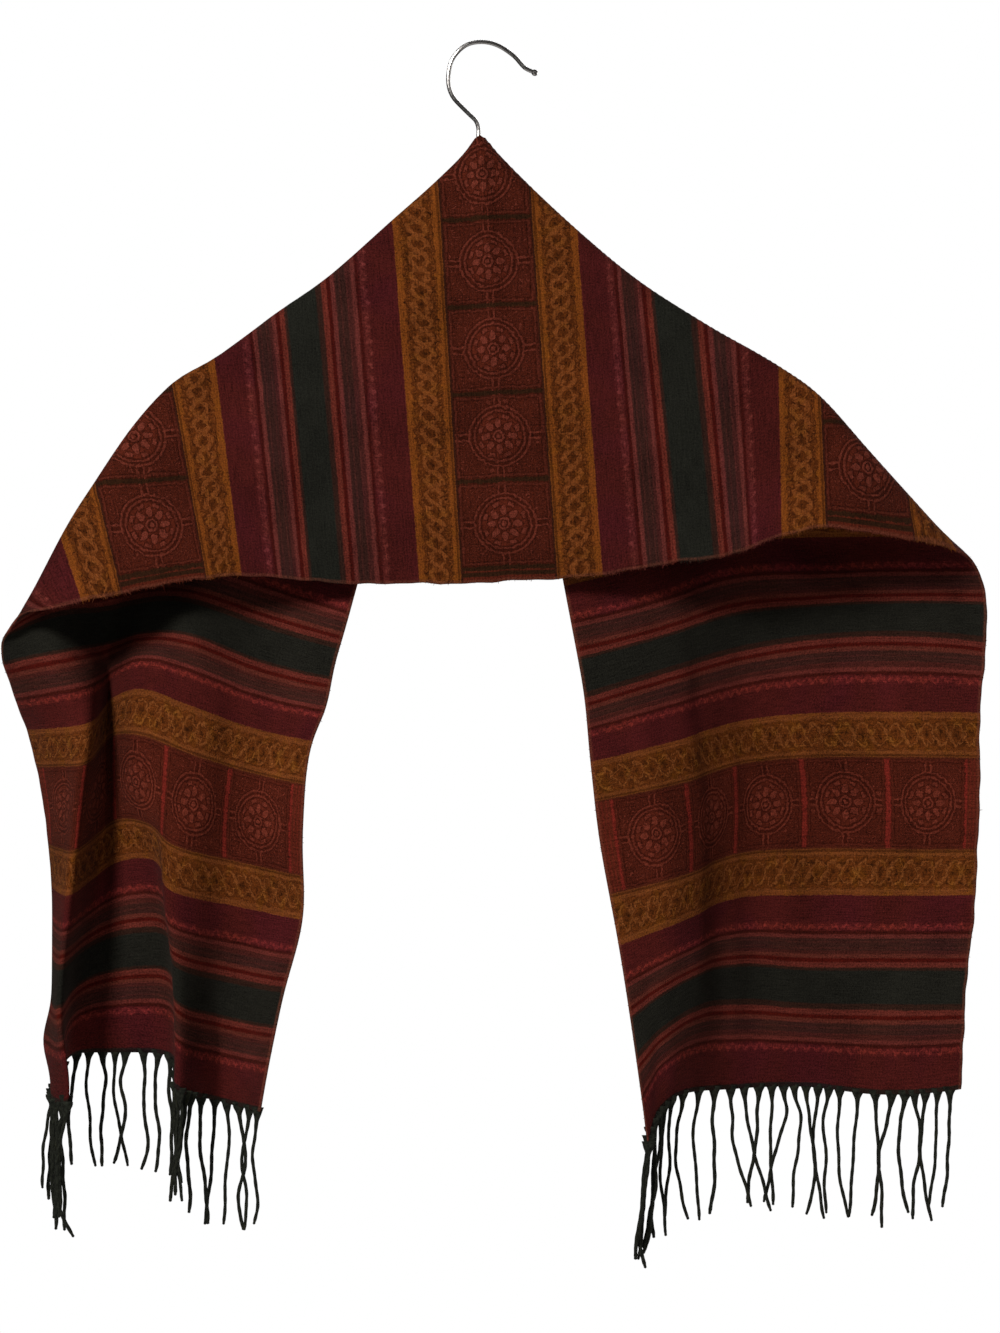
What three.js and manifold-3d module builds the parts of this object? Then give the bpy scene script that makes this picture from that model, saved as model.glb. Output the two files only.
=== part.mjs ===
// A woven striped scarf draped over a slim clothes hanger.
// Millimetres, +Z up, +X to the right and -Y towards someone facing the scarf.
// The origin is the inside top of the wire hook, where a rail carries the hanger.
//
// The cloth is one long strip. A point on it is named by two lengths measured on the flat cloth:
//   along   from the middle of the scarf, minus towards the left end, plus towards the right end
//   across  from the near long edge (0) to the far long edge (SCARF_WIDTH)
// The middle of the scarf is the near panel. Its far side turns over the hanger's arms along a
// slanting crest, so each end turns through a right angle and hangs behind as a tail.
import * as THREE from "three";
import { mergeVertices } from "three/addons/utils/BufferGeometryUtils.js";
import Module from "manifold-3d";

// ---- driving sizes ----
const SCARF_WIDTH = 300;
const HALF_LENGTH = 667; // hem to hem is twice this
const CLOTH = 1.6; // wall of the woven cloth
const SEAM = 0.3; // gap between neighbouring pieces
const FRINGE_DROP = 80; // reach of the twisted cords below the hem
const FRINGE_WALL = 2;
const WIRE = 2.8; // hook wire diameter
const BALL = 4.4; // rounded tip of the wire
const ARM_THICK = 6; // hanger arms, front to back
const ARM_ROUND = 2.4; // rounding of the arms' long edges
const ARM_CLEAR = 2.2; // arms' top below the middle of the cloth
const NECK_CLEAR = 22; // half the width of the flat at the hanger's neck
const HOOK_SOCKET = 14; // depth of the wire in the neck

// ---- tables ----
const table = (columns, rows) => {
  const names = columns.trim().split(/\s+/);
  return rows.map((row) => Object.fromEntries(names.map((n, i) => [n, row[i]])));
};

// Near panel: a row for each section across it. foot is the near edge, crest the turn over the
// hanger, reach the cloth from foot to crest, round the radius of the turn.
const PANEL = table("along footX footY footZ reach crestX crestZ round", [
  [-337, -304, -4, -372, 4, -308.5, -378.6, 7],
  [-320, -282, -20, -370, 26, -296.1, -358.9, 13],
  [-297, -259, -26, -365, 47, -275.1, -319.0, 15],
  [-269, -235, -26, -360, 76, -254.1, -285.6, 14],
  [-240, -208, -22, -354, 105, -230.6, -250.9, 9],
  [-211, -181, -18, -350, 128, -205.0, -222.7, 5],
  [-182, -159, -14, -348, 142, -177.5, -206.3, 5],
  [-139, -119, -11, -351, 175, -136.2, -176.2, 5],
  [-102, -87, -9, -353, 199, -104.1, -153.9, 5],
  [-59, -43, -8, -353, 237, -60.9, -115.9, 5],
  [-30, -16, -8, -353, 264, -31.4, -89.7, 5],
  [-12, 3, -8, -352, 281, -12.9, -71.4, 4],
  [0, 15, -8, -351, 292, -3.4, -59.2, 4],
  [12, 28, -8, -351, 279, 8.4, -71.6, 4],
  [30, 48, -8, -350, 257, 30.1, -93.7, 5],
  [59, 77, -9, -347, 227, 60.3, -121.8, 5],
  [102, 121, -12, -340, 184, 103.5, -157.2, 5],
  [139, 157, -16, -335, 155, 143.4, -182.7, 5],
  [182, 193, -22, -323, 111, 192.6, -210.9, 5],
  [211, 221, -26, -317, 86, 219.4, -230.6, 7],
  [240, 251, -28, -321, 58, 248.2, -263.3, 12],
  [269, 278, -24, -326, 34, 275.1, -293.4, 14],
  [297, 305, -12, -331, 13, 300.0, -320.3, 13],
  [314, 318, -3, -338, 4, 316.4, -335.4, 10],
]);

// Tails: a row for each section, a group of x, y, z for each fold line that runs down the tail.
// The fold lines' places across the cloth are in FOLDS, in the same order.
const RIGHT_FOLDS = { edge: 0, outer: 60, middle: 115, ridge: 170, step: 235, selvage: 300 };
const RIGHT_TAIL = [
  // along    edge            outer           middle          ridge           step            selvage
  [339, [330, 16, -358], [281, 46, -358], [228, 52, -360], [172, 50, -363], [119, 22, -380], [60, 9, -394]],
  [360, [331, 18, -378], [280, 48, -374], [227, 54, -376], [174, 50, -383], [122, 22, -398], [64, 9, -415]],
  [422, [328, 26, -439], [274, 52, -439], [217, 58, -440], [170, 50, -445], [128, 20, -457], [70, 10, -471]],
  [479, [328, 30, -498], [276, 54, -498], [221, 58, -498], [172, 50, -501], [135, 16, -512], [76, 8, -523]],
  [537, [326, 32, -558], [274, 54, -560], [220, 58, -560], [170, 50, -561], [135, 14, -572], [88, 4, -589]],
  [599, [320, 34, -621], [269, 54, -623], [217, 58, -623], [171, 48, -619], [134, 10, -623], [97, -6, -649]],
  [667, [317, 36, -689], [265, 54, -695], [215, 56, -690], [167, 46, -690], [123, 5, -691], [106, -20, -719]],
];
const LEFT_FOLDS = { edge: 0, sliver: 32, flap: 64, fold: 104, ridge: 121, lap: 155, overlap: 192, hollow: 240, selvage: 300 };
const LEFT_TAIL = [
  // along    edge             sliver           flap             fold             ridge            lap              overlap          hollow           selvage
  [339, [-310, 2, -381], [-295, 9, -371], [-281, 12, -364], [-262, 45, -361], [-252, 48, -360], [-226, 36, -355], [-195, 22, -357], [-148, 24, -372], [-94, 9, -388]],
  [360, [-318, 9, -394], [-301, 10, -388], [-281, 12, -384], [-258, 49, -381], [-249, 48, -380], [-224, 30, -375], [-195, 14, -374], [-153, 22, -390], [-99, 10, -404]],
  [393, [-313, 28, -426], [-292, 12, -423], [-264, 12, -418], [-253, 52, -410], [-247, 42, -407], [-224, 22, -400], [-196, 12, -406], [-157, 22, -422], [-105, 9, -434]],
  [422, [-306, 44, -450], [-285, 20, -449], [-261, 6, -446], [-254, 50, -432], [-247, 38, -428], [-225, 18, -423], [-197, 10, -433], [-160, 20, -447], [-114, 8, -457]],
  [479, [-297, 54, -500], [-281, 27, -499], [-266, 0, -498], [-256, 50, -486], [-248, 40, -481], [-226, 18, -484], [-202, 8, -494], [-168, 20, -505], [-120, 4, -515]],
  [537, [-292, 58, -553], [-284, 30, -556], [-272, -1, -556], [-258, 52, -544], [-247, 44, -537], [-219, 28, -534], [-208, 2, -552], [-168, 22, -564], [-120, 0, -572]],
  [599, [-292, 62, -616], [-287, 32, -617], [-278, -1, -616], [-266, 54, -604], [-248, 52, -598], [-213, 36, -595], [-203, -2, -613], [-175, 28, -626], [-134, -4, -630]],
  [667, [-292, 64, -690], [-289, 33, -694], [-281, 0, -694], [-276, 54, -668], [-252, 56, -667], [-210, 42, -668], [-202, -4, -683], [-180, 34, -696], [-147, -6, -698]],
];
// Behind the near panel the far edge of each end hangs taut from the neck, towards this point.
const TAUT = { neck: [-3.3, -61.5], right: [60, -394], left: [-94, -388], y: 8 };

// Wire hook, from the socket up round to the tip.
const HOOK = table("x z", [
  [-4.3, -60.2], [-4.3, -55.0], [-5.9, -50.4], [-9.8, -46.5], [-16.4, -40.0], [-21.0, -34.7],
  [-23.6, -28.2], [-23.9, -19.6], [-21.0, -9.2], [-12.4, -0.7], [-2.0, 1.4], [7.9, -0.7],
  [19.0, -7.9], [26.2, -15.7], [31.0, -18.0],
]);

// Depth of the hanger's arms, neck to ends.
const ARMS = { left: -205, right: 205, neckDepth: 26, endDepth: 14, endRound: 6 };

// ---- curves ----
const lerp = (a, b, t) => a + (b - a) * t;
const clamp = (x, lo, hi) => Math.min(hi, Math.max(lo, x));
const smooth = (x) => { const t = clamp(x, 0, 1); return t * t * (3 - 2 * t); };

// Smooth curve through values at uneven stations: cubic pieces with parabolic slopes.
function curve(xs, ys) {
  const n = xs.length;
  const d = xs.slice(1).map((x, i) => (ys[i + 1] - ys[i]) / (x - xs[i]));
  const m = xs.map((x, i) => {
    if (n === 2) return d[0];
    if (i === 0) return d[0] + ((d[0] - d[1]) * (xs[1] - x)) / (xs[2] - x);
    if (i === n - 1) return d[n - 2] + ((d[n - 2] - d[n - 3]) * (x - xs[n - 2])) / (x - xs[n - 3]);
    const a = x - xs[i - 1], b = xs[i + 1] - x;
    return (d[i - 1] * b + d[i] * a) / (a + b);
  });
  return (x) => {
    let i = 0;
    while (i < n - 2 && x > xs[i + 1]) i += 1;
    const h = xs[i + 1] - xs[i], t = (x - xs[i]) / h;
    if (t < 0) return ys[0] + m[0] * (x - xs[0]);
    if (t > 1) return ys[n - 1] + m[n - 1] * (x - xs[n - 1]);
    const t2 = t * t, t3 = t2 * t;
    return (2 * t3 - 3 * t2 + 1) * ys[i] + (t3 - 2 * t2 + t) * h * m[i]
      + (3 * t2 - 2 * t3) * ys[i + 1] + (t3 - t2) * h * m[i + 1];
  };
}
const column = (rows, name) => curve(rows.map((r) => r.along), rows.map((r) => r[name]));
const panel = Object.fromEntries(Object.keys(PANEL[0]).map((n) => [n, column(PANEL, n)]));
// The edge of the cloth passes in front of the wire at the neck.
const neckShift = (u) => -4 * Math.cos((Math.PI / 2) * clamp(Math.abs(u) / 12, 0, 1)) ** 2;

// ---- near panel ----
function nearPoint(u, v) {
  const reach = panel.reach(u), r = Math.min(panel.round(u), reach / 1.7), d = reach - v;
  const foot = new THREE.Vector3(panel.footX(u), panel.footY(u), panel.footZ(u));
  const crest = new THREE.Vector3(panel.crestX(u), neckShift(u), panel.crestZ(u));
  const down = new THREE.Vector3(foot.x - crest.x, 0, foot.z - crest.z);
  const length = down.length(), turn = (Math.PI / 2) * r;
  down.normalize();
  if (d < turn) {
    const a = d / r;
    return crest.addScaledVector(down, r * (1 - Math.cos(a))).add(new THREE.Vector3(0, -r * Math.sin(a), 0));
  }
  const t = (d - turn) / (reach - turn);
  const y = lerp(crest.y - r, foot.y, t);
  return crest.addScaledVector(down, lerp(r, length, t)).setY(y);
}

// ---- far side and tails ----
function makeEnd(side, folds, tail, taut) {
  const places = Object.values(folds).map((v) => v / SCARF_WIDTH);
  const last = side > 0 ? PANEL.at(-1).along : -PANEL[0].along;
  const first = tail[0].slice(1);
  const start = (u) => (u <= last ? panel.reach(side * u) : Math.max(0, panel.reach(side * last) * (1 - (u - last) / 12)));
  const crestAt = (u) => [panel.crestX(side * u), neckShift(u), panel.crestZ(side * u)];
  const tautAt = (u) => {
    const t = u / tail[0][0];
    return [lerp(TAUT.neck[0], taut[0], t), TAUT.y + neckShift(u), lerp(TAUT.neck[1], taut[1], t)];
  };
  const span = (a, b) => Math.hypot(a[0] - b[0], a[1] - b[1], a[2] - b[2]);
  // Spare cloth behind the panel hangs as a belly, shaped like the tail's first section.
  const belly = (u, a, b) => Math.sqrt(Math.max(0, span(a, b) * (SCARF_WIDTH - start(u) - span(a, b))));
  const bellyFirst = belly(tail[0][0], first[0], first.at(-1));
  const hidden = [0, 12, 30, 59, 102, 139, 182, 211, 240, 269, 297, 314].filter((u) => u < last + 1 && u < tail[0][0] - 15);
  const sections = hidden.map((u) => {
    const a = crestAt(u), b = tautAt(u), share = belly(u, a, b) / bellyFirst;
    return [u, ...places.map((t, j) => first[j].map((q, k) =>
      lerp(a[k], b[k], t) + (q - lerp(first[0][k], first.at(-1)[k], t)) * share))];
  }).concat(tail);
  const us = sections.map((s) => s[0]);
  const lines = places.map((_, j) => [0, 1, 2].map((k) => curve(us, sections.map((s) => s[j + 1][k]))));
  const round = (u) => (u <= last ? panel.round(side * u) : panel.round(side * last) * Math.max(0, 1 - (u - last) / 20));
  function point(u, v) {
    const lo = start(u), r = Math.max(0.01, round(u)), turn = (Math.PI / 2) * r, d = v - lo;
    // the cloth turns over on its radius first, so it lags behind its flat length and stands off
    const lag = d < turn ? d - r * (1 - Math.cos(d / r)) : turn - r;
    const fade = Math.exp(-Math.max(0, d - turn) / 45);
    const t = clamp((d - lag * fade) / (SCARF_WIDTH - lo), 0, 1);
    const p = [0, 1, 2].map((k) => curve(places, lines.map((l) => l[k](u)))(t));
    p[1] += r * Math.sin(Math.min(d / r, Math.PI / 2)) * fade * smooth(1 - (u - last) / 20);
    return new THREE.Vector3(...p);
  }
  return { point, start, last };
}
const right = makeEnd(1, RIGHT_FOLDS, RIGHT_TAIL, TAUT.right);
const left = makeEnd(-1, LEFT_FOLDS, LEFT_TAIL, TAUT.left);

// ---- solids ----
// A wall of even thickness on a grid of points: grid[i][j], closed round its four edges.
function wall(grid, thickness) {
  const rows = grid.length, cols = grid[0].length, half = thickness / 2;
  const at = (i, j) => grid[clamp(i, 0, rows - 1)][clamp(j, 0, cols - 1)];
  const front = [], back = [];
  for (let i = 0; i < rows; i += 1) for (let j = 0; j < cols; j += 1) {
    const a = at(i + 1, j).clone().sub(at(i - 1, j)), b = at(i, j + 1).clone().sub(at(i, j - 1));
    const n = a.cross(b).normalize();
    front.push(at(i, j).clone().addScaledVector(n, half));
    back.push(at(i, j).clone().addScaledVector(n, -half));
  }
  const vertices = [...front, ...back], offset = front.length, index = [];
  const id = (i, j, side) => i * cols + j + side * offset;
  for (let i = 0; i < rows - 1; i += 1) for (let j = 0; j < cols - 1; j += 1) {
    index.push(id(i, j, 0), id(i + 1, j, 0), id(i + 1, j + 1, 0), id(i, j, 0), id(i + 1, j + 1, 0), id(i, j + 1, 0));
    index.push(id(i, j, 1), id(i + 1, j + 1, 1), id(i + 1, j, 1), id(i, j, 1), id(i, j + 1, 1), id(i + 1, j + 1, 1));
  }
  const edge = (p, q) => index.push(p, q + offset, p + offset, p, q, q + offset);
  for (let i = 0; i < rows - 1; i += 1) {
    edge(id(i + 1, 0, 0), id(i, 0, 0));
    edge(id(i, cols - 1, 0), id(i + 1, cols - 1, 0));
  }
  for (let j = 0; j < cols - 1; j += 1) {
    edge(id(0, j, 0), id(0, j + 1, 0));
    edge(id(rows - 1, j + 1, 0), id(rows - 1, j, 0));
  }
  return solid(vertices, index);
}

// Closed loops of points joined into one body, with both ends capped.
function loft(loops) {
  const n = loops[0].length, vertices = loops.flat(), index = [];
  for (let i = 0; i < loops.length - 1; i += 1) for (let j = 0; j < n; j += 1) {
    const a = i * n + j, b = i * n + ((j + 1) % n);
    index.push(a, b, b + n, a, b + n, a + n);
  }
  [[0, 1], [loops.length - 1, -1]].forEach(([i, turn]) => {
    const centre = loops[i].reduce((s, p) => s.add(p), new THREE.Vector3()).divideScalar(n);
    const c = vertices.push(centre) - 1;
    for (let j = 0; j < n; j += 1) {
      const a = i * n + j, b = i * n + ((j + 1) % n);
      index.push(...(turn > 0 ? [c, b, a] : [c, a, b]));
    }
  });
  return solid(vertices, index);
}

// A geometry whose faces point outwards.
function solid(vertices, index) {
  let volume = 0;
  for (let i = 0; i < index.length; i += 3) {
    const [a, b, c] = [0, 1, 2].map((k) => vertices[index[i + k]]);
    volume += a.dot(b.clone().cross(c));
  }
  const faces = volume < 0 ? index.map((_, i) => index[i - (i % 3) + [0, 2, 1][i % 3]]) : index;
  const g = new THREE.BufferGeometry().setFromPoints(vertices);
  g.setIndex(faces);
  g.computeVertexNormals();
  return g;
}

const spread = (a, b, n) => Array.from({ length: n + 1 }, (_, i) => lerp(a, b, i / n));

// stations along the crest, shared by the panel and the ends so that their edges run alike
const CREST_STATIONS = [8, 18, 30, 48, 66, 88, 112, 139, 165, 190, 211, 228, 244, 260, 276, 292, 304];
const stations = (last) => CREST_STATIONS.filter((u) => u < last - 3).concat([last]);

// the seam opens a little where the crest narrows to the corner
const seamHalf = (u) => SEAM / 2 + 0.25 * smooth((u - 130) / 110);

function panelGrid() {
  const us = [...stations(-PANEL[0].along).map((u) => -u).reverse(), 0, ...stations(PANEL.at(-1).along)];
  return us.map((u) => {
    const reach = panel.reach(u), r = Math.min(panel.round(u), reach / 1.7), turn = (Math.PI / 2) * r;
    const flat = spread(0, reach - turn, 8).slice(0, -1);
    const curl = [0, 0.33, 0.66, 1].map((t) => reach - turn + turn * t - (t === 1 ? seamHalf(Math.abs(u)) : 0));
    return [...flat, ...curl].map((v) => nearPoint(u, v));
  });
}

function endGrid(end, cuts) {
  const crest = stations(end.last);
  const tail = spread(end.last + 6, HALF_LENGTH, 17);
  return [...crest, ...tail].map((u) => {
    const lo = end.start(u) + (u <= end.last + 12 ? seamHalf(u) : 0), width = SCARF_WIDTH - lo;
    const turn = Math.min(14, width * 0.3);
    const curl = [0, 0.3, 0.62, 1].map((t) => lo + turn * t);
    const rest = cuts.map((t) => lo + turn + (width - turn) * t);
    return [...curl, ...rest].map((v) => end.point(u, v));
  });
}

// Fringe: a plain wall of the cords' reach, hanging from the hem.
function fringeGrid(end, places, drop) {
  return places.map((v) => {
    const top = end.point(HALF_LENGTH, v), next = end.point(HALF_LENGTH, v + 2).sub(end.point(HALF_LENGTH, v - 2)).normalize();
    const lift = SEAM + 0.7 / Math.max(0.25, Math.hypot(next.x, next.y)) ** 2 + Math.abs(next.z);
    return spread(0, 1, 3).map((t) => top.clone().add(new THREE.Vector3(0, 0, -lift - drop(v) * t)));
  });
}

// ---- hanger ----
const crestLine = (() => {
  const rows = [...PANEL].sort((p, q) => p.crestX - q.crestX);
  return curve(rows.map((p) => p.crestX), rows.map((p) => p.crestZ));
})();
const NECK_X = PANEL.find((p) => p.along === 0).crestX;
const neckTop = () => Math.min(crestLine(NECK_X - NECK_CLEAR), crestLine(NECK_X + NECK_CLEAR)) - ARM_CLEAR;
// The arms follow just under the crest, flat at the neck, and deepest there.
function armLoops() {
  const { left: a, right: b, neckDepth, endDepth, endRound } = ARMS;
  const neck = NECK_X;
  const xs = [...spread(a, neck - NECK_CLEAR, 10), ...spread(neck - NECK_CLEAR, neck + NECK_CLEAR, 4).slice(1, -1), ...spread(neck + NECK_CLEAR, b, 10)];
  return xs.map((x) => {
    const off = Math.abs(x - neck);
    const high = off < NECK_CLEAR ? neckTop() : Math.min(neckTop(), crestLine(x) - ARM_CLEAR);
    const fromEnd = Math.min(x - a, b - x);
    const pinch = fromEnd < endRound ? endRound - Math.sqrt(endRound ** 2 - (endRound - fromEnd) ** 2) : 0;
    const depth = lerp(neckDepth, endDepth, smooth(off / 190)) - (off < NECK_CLEAR ? 4 : 0);
    const hi = high - pinch * 0.8, lo = high - depth + pinch * 0.8, w = ARM_THICK / 2, r = ARM_ROUND;
    const corners = [[-1, -1, lo], [1, -1, lo], [1, 1, hi], [-1, 1, hi]];
    return corners.flatMap(([sy, sz, z], q) => [0, 1, 2].map((i) => {
      const from = [Math.PI, -Math.PI / 2, 0, Math.PI / 2][q], angle = from + (Math.PI / 4) * i;
      return new THREE.Vector3(x, sy * (w - r) + r * Math.cos(angle), z - sz * r + r * Math.sin(angle));
    }));
  });
}

// The wire: rings square to its path, which lies in the XZ plane, swelling into the ball tip.
function hookGeometry(stemZ) {
  const stem = new THREE.Vector3(HOOK[0].x, 0, stemZ);
  const path = new THREE.CatmullRomCurve3([stem, ...HOOK.map((h) => new THREE.Vector3(h.x, 0, h.z))], false, "centripetal");
  const y = new THREE.Vector3(0, 1, 0), sides = 12;
  const wire = spread(0, 1, 60).map((t) => ({ t, ahead: 0, size: WIRE / 2 }));
  const ball = spread(-0.75, 0.94, 6).map((q) => ({ t: 1, ahead: (BALL / 2) * (q + 0.8), size: (BALL / 2) * Math.sqrt(1 - q * q) }));
  return loft([...wire, ...ball].map(({ t, ahead, size }) => {
    const along = path.getTangentAt(t), c = path.getPointAt(t).addScaledVector(along, ahead);
    const across = new THREE.Vector3().crossVectors(along, y).normalize();
    return Array.from({ length: sides }, (_, i) => {
      const a = (2 * Math.PI * i) / sides;
      return c.clone().addScaledVector(across, size * Math.cos(a)).addScaledVector(y, size * Math.sin(a));
    });
  }));
}

// ---- build ----
const wasm = await Module();
wasm.setup();
const toManifold = (g) => new wasm.Manifold(new wasm.Mesh({
  numProp: 3,
  vertProperties: new Float32Array(g.getAttribute("position").array),
  triVerts: new Uint32Array(g.index.array),
}));
function fromManifold(body) {
  const mesh = body.getMesh();
  const g = new THREE.BufferGeometry();
  g.setAttribute("position", new THREE.BufferAttribute(new Float32Array(mesh.vertProperties), 3));
  g.setIndex(new THREE.BufferAttribute(new Uint32Array(mesh.triVerts), 1));
  g.computeVertexNormals();
  return g;
}
// A blind hole down the neck holds the wire.
function armsGeometry() {
  const bore = new THREE.CylinderGeometry(WIRE / 2 + SEAM, WIRE / 2 + SEAM, HOOK_SOCKET * 2, 12);
  bore.rotateX(Math.PI / 2).translate(HOOK[0].x, 0, neckTop());
  bore.deleteAttribute("normal");
  bore.deleteAttribute("uv");
  return fromManifold(toManifold(loft(armLoops())).subtract(toManifold(mergeVertices(bore, 1e-4))));
}

const cloth = new THREE.MeshStandardMaterial({ color: 0x5e2418, roughness: 0.95, metalness: 0 });
const reverse = new THREE.MeshStandardMaterial({ color: 0x582016, roughness: 0.95, metalness: 0 });
const yarn = new THREE.MeshStandardMaterial({ color: 0x1c1d18, roughness: 0.95, metalness: 0 });
const steel = new THREE.MeshStandardMaterial({ color: 0x9a9896, roughness: 0.3, metalness: 1 });
const wood = new THREE.MeshStandardMaterial({ color: 0x3a2a20, roughness: 0.6, metalness: 0 });

const RIGHT_CUTS = spread(0, 1, 13).slice(1);
// places across the left end, closer together where it folds on itself
const LEFT_PLACES = [32, 47, 57, 64, 71, 81, 93, 104, 112, 121, 134, 148, 161, 177, 192, 208, 224, 240, 260, 280];
const LEFT_CUTS = [...LEFT_PLACES, SCARF_WIDTH].map((v) => (v - 14) / (SCARF_WIDTH - 14));
const part = new THREE.Group();
const add = (name, geometry, material) => {
  const mesh = new THREE.Mesh(geometry, material);
  mesh.name = name;
  part.add(mesh);
};
add("hanger_hook", hookGeometry(neckTop() - HOOK_SOCKET + 1), steel);
add("hanger_arms", armsGeometry(), wood);
add("scarf_middle", wall(panelGrid(), CLOTH), cloth);
add("scarf_right_end", wall(endGrid(right, RIGHT_CUTS), CLOTH), reverse);
add("scarf_left_end", wall(endGrid(left, LEFT_CUTS), CLOTH), reverse);
add("fringe_right", wall(fringeGrid(right, spread(2, SCARF_WIDTH - 2, 22), () => FRINGE_DROP), FRINGE_WALL), yarn);
add("fringe_left", wall(fringeGrid(left, [2, 8.7, 14, ...LEFT_PLACES, SCARF_WIDTH - 2], () => FRINGE_DROP), FRINGE_WALL), yarn);

export default part;
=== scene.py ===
"""Looks of a striped woven scarf draped over a slim hanger with a wire hook.

Sizes are millimetres until a mesh is made. The cloth is one long strip, and a point on it is
named by two lengths on the flat cloth: along, from the middle of the scarf (minus to the left
end), and across, from the near long edge (0) to the far one (300). The same two lengths are the
cloth's UV map, so every stripe and motif is worked out by shader nodes from them.
"""

import math

import bpy
import numpy as np
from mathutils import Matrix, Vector


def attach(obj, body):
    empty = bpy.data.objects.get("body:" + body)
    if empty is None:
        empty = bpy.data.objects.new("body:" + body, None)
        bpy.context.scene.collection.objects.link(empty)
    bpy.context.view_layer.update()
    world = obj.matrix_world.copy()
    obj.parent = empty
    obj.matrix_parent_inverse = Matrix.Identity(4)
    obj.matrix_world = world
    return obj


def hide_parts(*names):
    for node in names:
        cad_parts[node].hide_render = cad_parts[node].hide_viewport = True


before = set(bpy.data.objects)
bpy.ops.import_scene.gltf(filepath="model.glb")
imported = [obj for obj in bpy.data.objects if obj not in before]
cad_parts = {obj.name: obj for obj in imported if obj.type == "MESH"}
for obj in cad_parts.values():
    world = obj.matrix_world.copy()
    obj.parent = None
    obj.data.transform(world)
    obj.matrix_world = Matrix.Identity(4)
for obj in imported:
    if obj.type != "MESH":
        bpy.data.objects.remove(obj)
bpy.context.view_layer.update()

# ---------------------------------------------------------------- sizes
WIDTH = 300.0  # across the scarf
HALF = 667.0  # middle to hem
CLOTH = 1.6  # thickness of the woven cloth
ROWS, COLS = 400, 98  # spacing of the cloth's grid: 3.3 mm along, 3.1 mm across
TURN_BACK = 16.0  # length over which the cloth's turn fades past the corner


def table(columns, rows):
    names = columns.split()
    return [dict(zip(names, row)) for row in rows]


# The near panel: its near edge (foot), its turn over the hanger (crest), the cloth between them.
PANEL = table(
    "along footX footY footZ reach crestX crestZ round",
    [
        (-337, -304, -4, -372, 4, -308.5, -378.6, 7),
        (-320, -282, -20, -370, 26, -296.1, -358.9, 13),
        (-297, -259, -26, -365, 47, -275.1, -319.0, 15),
        (-269, -235, -26, -360, 76, -254.1, -285.6, 14),
        (-240, -208, -22, -354, 105, -230.6, -250.9, 9),
        (-211, -181, -18, -350, 128, -205.0, -222.7, 5),
        (-182, -159, -14, -348, 142, -177.5, -206.3, 5),
        (-139, -119, -11, -351, 175, -136.2, -176.2, 5),
        (-102, -87, -9, -353, 199, -104.1, -153.9, 5),
        (-59, -43, -8, -353, 237, -60.9, -115.9, 5),
        (-30, -16, -8, -353, 264, -31.4, -89.7, 5),
        (-12, 3, -8, -352, 281, -12.9, -71.4, 4),
        (0, 15, -8, -351, 292, -3.4, -59.2, 4),
        (12, 28, -8, -351, 279, 8.4, -71.6, 4),
        (30, 48, -8, -350, 257, 30.1, -93.7, 5),
        (59, 77, -9, -347, 227, 60.3, -121.8, 5),
        (102, 121, -12, -340, 184, 103.5, -157.2, 5),
        (139, 157, -16, -335, 155, 143.4, -182.7, 5),
        (182, 193, -22, -323, 111, 192.6, -210.9, 5),
        (211, 221, -26, -317, 86, 219.4, -230.6, 7),
        (240, 251, -28, -321, 58, 248.2, -263.3, 12),
        (269, 278, -24, -326, 34, 275.1, -293.4, 14),
        (297, 305, -12, -331, 13, 300.0, -320.3, 13),
        (314, 318, -3, -338, 4, 316.4, -335.4, 10),
    ],
)

# Tails: x, y, z of each fold line at each place along; the fold lines' places are in FOLDS.
RIGHT_FOLDS = (0, 60, 115, 170, 235, 300)
RIGHT_TAIL = [
    (339, (330, 16, -358), (281, 46, -358), (228, 52, -360), (172, 50, -363), (119, 22, -380), (60, 9, -394)),
    (360, (331, 18, -378), (280, 48, -374), (227, 54, -376), (174, 50, -383), (122, 22, -398), (64, 9, -415)),
    (422, (328, 26, -439), (274, 52, -439), (217, 58, -440), (170, 50, -445), (128, 20, -457), (70, 10, -471)),
    (479, (328, 30, -498), (276, 54, -498), (221, 58, -498), (172, 50, -501), (135, 16, -512), (76, 8, -523)),
    (537, (326, 32, -558), (274, 54, -560), (220, 58, -560), (170, 50, -561), (135, 14, -572), (88, 4, -589)),
    (599, (320, 34, -621), (269, 54, -623), (217, 58, -623), (171, 48, -619), (134, 10, -623), (97, -6, -649)),
    (667, (317, 36, -689), (265, 54, -695), (215, 56, -690), (167, 46, -690), (123, 5, -691), (106, -20, -719)),
]
LEFT_FOLDS = (0, 32, 64, 104, 121, 155, 192, 240, 300)
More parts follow.
